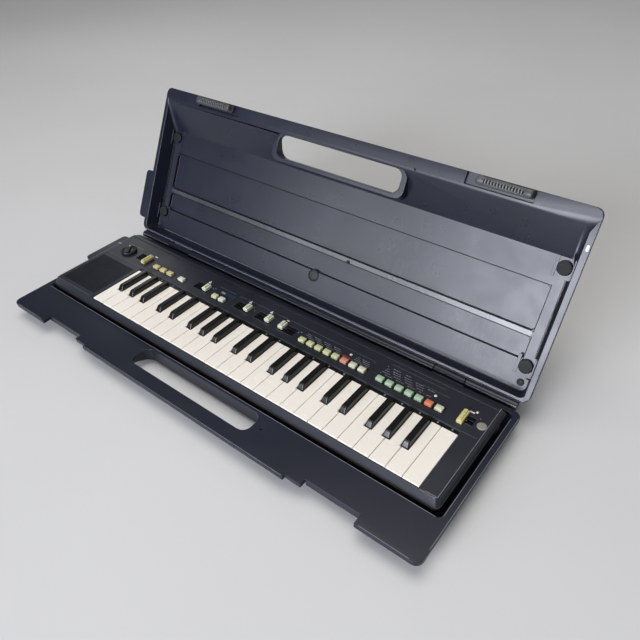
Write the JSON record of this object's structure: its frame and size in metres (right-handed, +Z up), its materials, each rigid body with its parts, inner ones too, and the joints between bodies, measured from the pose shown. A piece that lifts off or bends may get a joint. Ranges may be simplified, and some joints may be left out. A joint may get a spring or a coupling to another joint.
{
  "type": "portable keyboard",
  "caption": "Small electronic keyboard with narrow keys, a control panel and a side speaker grille, lying in its open hinged carrying case.",
  "frame": {"origin": "middle of the case base, on its flat underside", "axes": "+X along the case to the player's right, +Y from the player to the hinge, +Z up"},
  "size_m": [0.6894, 0.3498, 0.2367],
  "materials": {
    "case_plastic": "semi-gloss moulded navy plastic",
    "latch_plastic": "satin dark grey plastic",
    "housing_plastic": "fine-textured dark plastic",
    "lower_housing_plastic": "matt black plastic",
    "white_key_plastic": "glossy warm white plastic",
    "black_key_plastic": "glossy black plastic",
    "knob_plastic": "satin black plastic",
    "yellow_lever_plastic": "satin yellow plastic",
    "cream_slider_plastic": "satin cream plastic",
    "button_plastic": "satin coloured plastic"
  },
  "bodies": {
    "case": {"case_base": "case_plastic"},
    "lid": {"case_lid": "case_plastic"},
    "latch_left": {"latch_left": "latch_plastic"},
    "latch_right": {"latch_right": "latch_plastic"},
    "keyboard": {"lower_case": "lower_housing_plastic", "upper_case": "housing_plastic"},
    "volume_knob": {"volume_knob": "knob_plastic"},
    "slider_1": {"slider_1": "yellow_lever_plastic"},
    "slider_2": {"slider_2": "cream_slider_plastic"},
    "slider_3": {"slider_3": "cream_slider_plastic"},
    "slider_4": {"slider_4": "cream_slider_plastic"},
    "slider_5": {"slider_5": "cream_slider_plastic"},
    "slide_switch": {"slide_switch": "yellow_lever_plastic"},
    "button_bank_left": {"button_bank_left": "button_plastic"},
    "button_bank_middle": {"button_bank_middle": "button_plastic"},
    "button_bank_right": {"button_bank_right": "button_plastic"},
    "key_F3": {"key_F3": "white_key_plastic"},
    "key_F3_sharp": {"key_F3_sharp": "black_key_plastic"},
    "key_G3": {"key_G3": "white_key_plastic"},
    "key_G3_sharp": {"key_G3_sharp": "black_key_plastic"},
    "key_A3": {"key_A3": "white_key_plastic"},
    "key_A3_sharp": {"key_A3_sharp": "black_key_plastic"},
    "key_B3": {"key_B3": "white_key_plastic"},
    "key_C4": {"key_C4": "white_key_plastic"},
    "key_C4_sharp": {"key_C4_sharp": "black_key_plastic"},
    "key_D4": {"key_D4": "white_key_plastic"},
    "key_D4_sharp": {"key_D4_sharp": "black_key_plastic"},
    "key_E4": {"key_E4": "white_key_plastic"},
    "key_F4": {"key_F4": "white_key_plastic"},
    "key_F4_sharp": {"key_F4_sharp": "black_key_plastic"},
    "key_G4": {"key_G4": "white_key_plastic"},
    "key_G4_sharp": {"key_G4_sharp": "black_key_plastic"},
    "key_A4": {"key_A4": "white_key_plastic"},
    "key_A4_sharp": {"key_A4_sharp": "black_key_plastic"},
    "key_B4": {"key_B4": "white_key_plastic"},
    "key_C5": {"key_C5": "white_key_plastic"},
    "key_C5_sharp": {"key_C5_sharp": "black_key_plastic"},
    "key_D5": {"key_D5": "white_key_plastic"},
    "key_D5_sharp": {"key_D5_sharp": "black_key_plastic"},
    "key_E5": {"key_E5": "white_key_plastic"},
    "key_F5": {"key_F5": "white_key_plastic"},
    "key_F5_sharp": {"key_F5_sharp": "black_key_plastic"},
    "key_G5": {"key_G5": "white_key_plastic"},
    "key_G5_sharp": {"key_G5_sharp": "black_key_plastic"},
    "key_A5": {"key_A5": "white_key_plastic"},
    "key_A5_sharp": {"key_A5_sharp": "black_key_plastic"},
    "key_B5": {"key_B5": "white_key_plastic"},
    "key_C6": {"key_C6": "white_key_plastic"},
    "key_C6_sharp": {"key_C6_sharp": "black_key_plastic"},
    "key_D6": {"key_D6": "white_key_plastic"},
    "key_D6_sharp": {"key_D6_sharp": "black_key_plastic"},
    "key_E6": {"key_E6": "white_key_plastic"},
    "key_F6": {"key_F6": "white_key_plastic"},
    "key_F6_sharp": {"key_F6_sharp": "black_key_plastic"},
    "key_G6": {"key_G6": "white_key_plastic"},
    "key_G6_sharp": {"key_G6_sharp": "black_key_plastic"},
    "key_A6": {"key_A6": "white_key_plastic"},
    "key_A6_sharp": {"key_A6_sharp": "black_key_plastic"},
    "key_B6": {"key_B6": "white_key_plastic"},
    "key_C7": {"key_C7": "white_key_plastic"}
  },
  "joints": [
    {"name": "lid_hinge", "type": "hinge", "parent": "case", "child": "lid", "pos_m": [0, 0.1215, 0.0245], "axis": [1, 0, 0], "range_deg": [0, 117.4]},
    {"name": "keyboard_lift", "type": "slide", "parent": "case", "child": "keyboard", "axis": [0, 0, -1], "range_m": [-0.12, 0]},
    {"name": "latch_left_slide", "type": "slide", "parent": "lid", "child": "latch_left", "axis": [1, 0, 0], "range_m": [0, 0.014]},
    {"name": "latch_right_slide", "type": "slide", "parent": "lid", "child": "latch_right", "axis": [-1, 0, 0], "range_m": [0, 0.014]},
    {"name": "volume_knob_turn", "type": "hinge", "parent": "keyboard", "child": "volume_knob", "pos_m": [-0.28585, 0.058, 0.0383], "axis": [0, 0, 1], "range_deg": [-140, 140]},
    {"name": "slider_1_move", "type": "slide", "parent": "keyboard", "child": "slider_1", "axis": [1, 0, 0], "range_m": [-0.019, 0]},
    {"name": "slider_2_move", "type": "slide", "parent": "keyboard", "child": "slider_2", "axis": [1, 0, 0], "range_m": [-0.019, 0]},
    {"name": "slider_3_move", "type": "slide", "parent": "keyboard", "child": "slider_3", "axis": [1, 0, 0], "range_m": [-0.019, 0]},
    {"name": "slider_4_move", "type": "slide", "parent": "keyboard", "child": "slider_4", "axis": [1, 0, 0], "range_m": [-0.019, 0]},
    {"name": "slider_5_move", "type": "slide", "parent": "keyboard", "child": "slider_5", "axis": [1, 0, 0], "range_m": [0, 0.019]},
    {"name": "slide_switch_move", "type": "slide", "parent": "keyboard", "child": "slide_switch", "axis": [1, 0, 0], "range_m": [0, 0.011]},
    {"name": "button_bank_left_press", "type": "slide", "parent": "keyboard", "child": "button_bank_left", "axis": [0, 0, -1], "range_m": [0, 0.002], "stiffness_N_per_m": 300, "springref_m": -0.001},
    {"name": "button_bank_middle_press", "type": "slide", "parent": "keyboard", "child": "button_bank_middle", "axis": [0, 0, -1], "range_m": [0, 0.002], "stiffness_N_per_m": 300, "springref_m": -0.001},
    {"name": "button_bank_right_press", "type": "slide", "parent": "keyboard", "child": "button_bank_right", "axis": [0, 0, -1], "range_m": [0, 0.002], "stiffness_N_per_m": 300, "springref_m": -0.001},
    {"name": "key_F3_press", "type": "hinge", "parent": "keyboard", "child": "key_F3", "pos_m": [0, 0.039, 0.0278], "axis": [1, 0, 0], "range_deg": [0, 4.15], "stiffness_Nm_per_rad": 0.4, "springref_deg": -5.73},
    {"name": "key_F3_sharp_press", "type": "hinge", "parent": "keyboard", "child": "key_F3_sharp", "pos_m": [0, 0.039, 0.0278], "axis": [1, 0, 0], "range_deg": [0, 4.15], "stiffness_Nm_per_rad": 0.4, "springref_deg": -5.73},
    {"name": "key_G3_press", "type": "hinge", "parent": "keyboard", "child": "key_G3", "pos_m": [0, 0.039, 0.0278], "axis": [1, 0, 0], "range_deg": [0, 4.15], "stiffness_Nm_per_rad": 0.4, "springref_deg": -5.73},
    {"name": "key_G3_sharp_press", "type": "hinge", "parent": "keyboard", "child": "key_G3_sharp", "pos_m": [0, 0.039, 0.0278], "axis": [1, 0, 0], "range_deg": [0, 4.15], "stiffness_Nm_per_rad": 0.4, "springref_deg": -5.73},
    {"name": "key_A3_press", "type": "hinge", "parent": "keyboard", "child": "key_A3", "pos_m": [0, 0.039, 0.0278], "axis": [1, 0, 0], "range_deg": [0, 4.15], "stiffness_Nm_per_rad": 0.4, "springref_deg": -5.73},
    {"name": "key_A3_sharp_press", "type": "hinge", "parent": "keyboard", "child": "key_A3_sharp", "pos_m": [0, 0.039, 0.0278], "axis": [1, 0, 0], "range_deg": [0, 4.15], "stiffness_Nm_per_rad": 0.4, "springref_deg": -5.73},
    {"name": "key_B3_press", "type": "hinge", "parent": "keyboard", "child": "key_B3", "pos_m": [0, 0.039, 0.0278], "axis": [1, 0, 0], "range_deg": [0, 4.15], "stiffness_Nm_per_rad": 0.4, "springref_deg": -5.73},
    {"name": "key_C4_press", "type": "hinge", "parent": "keyboard", "child": "key_C4", "pos_m": [0, 0.039, 0.0278], "axis": [1, 0, 0], "range_deg": [0, 4.15], "stiffness_Nm_per_rad": 0.4, "springref_deg": -5.73},
    {"name": "key_C4_sharp_press", "type": "hinge", "parent": "keyboard", "child": "key_C4_sharp", "pos_m": [0, 0.039, 0.0278], "axis": [1, 0, 0], "range_deg": [0, 4.15], "stiffness_Nm_per_rad": 0.4, "springref_deg": -5.73},
    {"name": "key_D4_press", "type": "hinge", "parent": "keyboard", "child": "key_D4", "pos_m": [0, 0.039, 0.0278], "axis": [1, 0, 0], "range_deg": [0, 4.15], "stiffness_Nm_per_rad": 0.4, "springref_deg": -5.73},
    {"name": "key_D4_sharp_press", "type": "hinge", "parent": "keyboard", "child": "key_D4_sharp", "pos_m": [0, 0.039, 0.0278], "axis": [1, 0, 0], "range_deg": [0, 4.15], "stiffness_Nm_per_rad": 0.4, "springref_deg": -5.73},
    {"name": "key_E4_press", "type": "hinge", "parent": "keyboard", "child": "key_E4", "pos_m": [0, 0.039, 0.0278], "axis": [1, 0, 0], "range_deg": [0, 4.15], "stiffness_Nm_per_rad": 0.4, "springref_deg": -5.73},
    {"name": "key_F4_press", "type": "hinge", "parent": "keyboard", "child": "key_F4", "pos_m": [0, 0.039, 0.0278], "axis": [1, 0, 0], "range_deg": [0, 4.15], "stiffness_Nm_per_rad": 0.4, "springref_deg": -5.73},
    {"name": "key_F4_sharp_press", "type": "hinge", "parent": "keyboard", "child": "key_F4_sharp", "pos_m": [0, 0.039, 0.0278], "axis": [1, 0, 0], "range_deg": [0, 4.15], "stiffness_Nm_per_rad": 0.4, "springref_deg": -5.73},
    {"name": "key_G4_press", "type": "hinge", "parent": "keyboard", "child": "key_G4", "pos_m": [0, 0.039, 0.0278], "axis": [1, 0, 0], "range_deg": [0, 4.15], "stiffness_Nm_per_rad": 0.4, "springref_deg": -5.73},
    {"name": "key_G4_sharp_press", "type": "hinge", "parent": "keyboard", "child": "key_G4_sharp", "pos_m": [0, 0.039, 0.0278], "axis": [1, 0, 0], "range_deg": [0, 4.15], "stiffness_Nm_per_rad": 0.4, "springref_deg": -5.73},
    {"name": "key_A4_press", "type": "hinge", "parent": "keyboard", "child": "key_A4", "pos_m": [0, 0.039, 0.0278], "axis": [1, 0, 0], "range_deg": [0, 4.15], "stiffness_Nm_per_rad": 0.4, "springref_deg": -5.73},
    {"name": "key_A4_sharp_press", "type": "hinge", "parent": "keyboard", "child": "key_A4_sharp", "pos_m": [0, 0.039, 0.0278], "axis": [1, 0, 0], "range_deg": [0, 4.15], "stiffness_Nm_per_rad": 0.4, "springref_deg": -5.73},
    {"name": "key_B4_press", "type": "hinge", "parent": "keyboard", "child": "key_B4", "pos_m": [0, 0.039, 0.0278], "axis": [1, 0, 0], "range_deg": [0, 4.15], "stiffness_Nm_per_rad": 0.4, "springref_deg": -5.73},
    {"name": "key_C5_press", "type": "hinge", "parent": "keyboard", "child": "key_C5", "pos_m": [0, 0.039, 0.0278], "axis": [1, 0, 0], "range_deg": [0, 4.15], "stiffness_Nm_per_rad": 0.4, "springref_deg": -5.73},
    {"name": "key_C5_sharp_press", "type": "hinge", "parent": "keyboard", "child": "key_C5_sharp", "pos_m": [0, 0.039, 0.0278], "axis": [1, 0, 0], "range_deg": [0, 4.15], "stiffness_Nm_per_rad": 0.4, "springref_deg": -5.73},
    {"name": "key_D5_press", "type": "hinge", "parent": "keyboard", "child": "key_D5", "pos_m": [0, 0.039, 0.0278], "axis": [1, 0, 0], "range_deg": [0, 4.15], "stiffness_Nm_per_rad": 0.4, "springref_deg": -5.73},
    {"name": "key_D5_sharp_press", "type": "hinge", "parent": "keyboard", "child": "key_D5_sharp", "pos_m": [0, 0.039, 0.0278], "axis": [1, 0, 0], "range_deg": [0, 4.15], "stiffness_Nm_per_rad": 0.4, "springref_deg": -5.73},
    {"name": "key_E5_press", "type": "hinge", "parent": "keyboard", "child": "key_E5", "pos_m": [0, 0.039, 0.0278], "axis": [1, 0, 0], "range_deg": [0, 4.15], "stiffness_Nm_per_rad": 0.4, "springref_deg": -5.73},
    {"name": "key_F5_press", "type": "hinge", "parent": "keyboard", "child": "key_F5", "pos_m": [0, 0.039, 0.0278], "axis": [1, 0, 0], "range_deg": [0, 4.15], "stiffness_Nm_per_rad": 0.4, "springref_deg": -5.73},
    {"name": "key_F5_sharp_press", "type": "hinge", "parent": "keyboard", "child": "key_F5_sharp", "pos_m": [0, 0.039, 0.0278], "axis": [1, 0, 0], "range_deg": [0, 4.15], "stiffness_Nm_per_rad": 0.4, "springref_deg": -5.73},
    {"name": "key_G5_press", "type": "hinge", "parent": "keyboard", "child": "key_G5", "pos_m": [0, 0.039, 0.0278], "axis": [1, 0, 0], "range_deg": [0, 4.15], "stiffness_Nm_per_rad": 0.4, "springref_deg": -5.73},
    {"name": "key_G5_sharp_press", "type": "hinge", "parent": "keyboard", "child": "key_G5_sharp", "pos_m": [0, 0.039, 0.0278], "axis": [1, 0, 0], "range_deg": [0, 4.15], "stiffness_Nm_per_rad": 0.4, "springref_deg": -5.73},
    {"name": "key_A5_press", "type": "hinge", "parent": "keyboard", "child": "key_A5", "pos_m": [0, 0.039, 0.0278], "axis": [1, 0, 0], "range_deg": [0, 4.15], "stiffness_Nm_per_rad": 0.4, "springref_deg": -5.73},
    {"name": "key_A5_sharp_press", "type": "hinge", "parent": "keyboard", "child": "key_A5_sharp", "pos_m": [0, 0.039, 0.0278], "axis": [1, 0, 0], "range_deg": [0, 4.15], "stiffness_Nm_per_rad": 0.4, "springref_deg": -5.73},
    {"name": "key_B5_press", "type": "hinge", "parent": "keyboard", "child": "key_B5", "pos_m": [0, 0.039, 0.0278], "axis": [1, 0, 0], "range_deg": [0, 4.15], "stiffness_Nm_per_rad": 0.4, "springref_deg": -5.73},
    {"name": "key_C6_press", "type": "hinge", "parent": "keyboard", "child": "key_C6", "pos_m": [0, 0.039, 0.0278], "axis": [1, 0, 0], "range_deg": [0, 4.15], "stiffness_Nm_per_rad": 0.4, "springref_deg": -5.73},
    {"name": "key_C6_sharp_press", "type": "hinge", "parent": "keyboard", "child": "key_C6_sharp", "pos_m": [0, 0.039, 0.0278], "axis": [1, 0, 0], "range_deg": [0, 4.15], "stiffness_Nm_per_rad": 0.4, "springref_deg": -5.73},
    {"name": "key_D6_press", "type": "hinge", "parent": "keyboard", "child": "key_D6", "pos_m": [0, 0.039, 0.0278], "axis": [1, 0, 0], "range_deg": [0, 4.15], "stiffness_Nm_per_rad": 0.4, "springref_deg": -5.73},
    {"name": "key_D6_sharp_press", "type": "hinge", "parent": "keyboard", "child": "key_D6_sharp", "pos_m": [0, 0.039, 0.0278], "axis": [1, 0, 0], "range_deg": [0, 4.15], "stiffness_Nm_per_rad": 0.4, "springref_deg": -5.73},
    {"name": "key_E6_press", "type": "hinge", "parent": "keyboard", "child": "key_E6", "pos_m": [0, 0.039, 0.0278], "axis": [1, 0, 0], "range_deg": [0, 4.15], "stiffness_Nm_per_rad": 0.4, "springref_deg": -5.73},
    {"name": "key_F6_press", "type": "hinge", "parent": "keyboard", "child": "key_F6", "pos_m": [0, 0.039, 0.0278], "axis": [1, 0, 0], "range_deg": [0, 4.15], "stiffness_Nm_per_rad": 0.4, "springref_deg": -5.73},
    {"name": "key_F6_sharp_press", "type": "hinge", "parent": "keyboard", "child": "key_F6_sharp", "pos_m": [0, 0.039, 0.0278], "axis": [1, 0, 0], "range_deg": [0, 4.15], "stiffness_Nm_per_rad": 0.4, "springref_deg": -5.73},
    {"name": "key_G6_press", "type": "hinge", "parent": "keyboard", "child": "key_G6", "pos_m": [0, 0.039, 0.0278], "axis": [1, 0, 0], "range_deg": [0, 4.15], "stiffness_Nm_per_rad": 0.4, "springref_deg": -5.73},
    {"name": "key_G6_sharp_press", "type": "hinge", "parent": "keyboard", "child": "key_G6_sharp", "pos_m": [0, 0.039, 0.0278], "axis": [1, 0, 0], "range_deg": [0, 4.15], "stiffness_Nm_per_rad": 0.4, "springref_deg": -5.73},
    {"name": "key_A6_press", "type": "hinge", "parent": "keyboard", "child": "key_A6", "pos_m": [0, 0.039, 0.0278], "axis": [1, 0, 0], "range_deg": [0, 4.15], "stiffness_Nm_per_rad": 0.4, "springref_deg": -5.73},
    {"name": "key_A6_sharp_press", "type": "hinge", "parent": "keyboard", "child": "key_A6_sharp", "pos_m": [0, 0.039, 0.0278], "axis": [1, 0, 0], "range_deg": [0, 4.15], "stiffness_Nm_per_rad": 0.4, "springref_deg": -5.73},
    {"name": "key_B6_press", "type": "hinge", "parent": "keyboard", "child": "key_B6", "pos_m": [0, 0.039, 0.0278], "axis": [1, 0, 0], "range_deg": [0, 4.15], "stiffness_Nm_per_rad": 0.4, "springref_deg": -5.73},
    {"name": "key_C7_press", "type": "hinge", "parent": "keyboard", "child": "key_C7", "pos_m": [0, 0.039, 0.0278], "axis": [1, 0, 0], "range_deg": [0, 4.15], "stiffness_Nm_per_rad": 0.4, "springref_deg": -5.73}
  ]
}
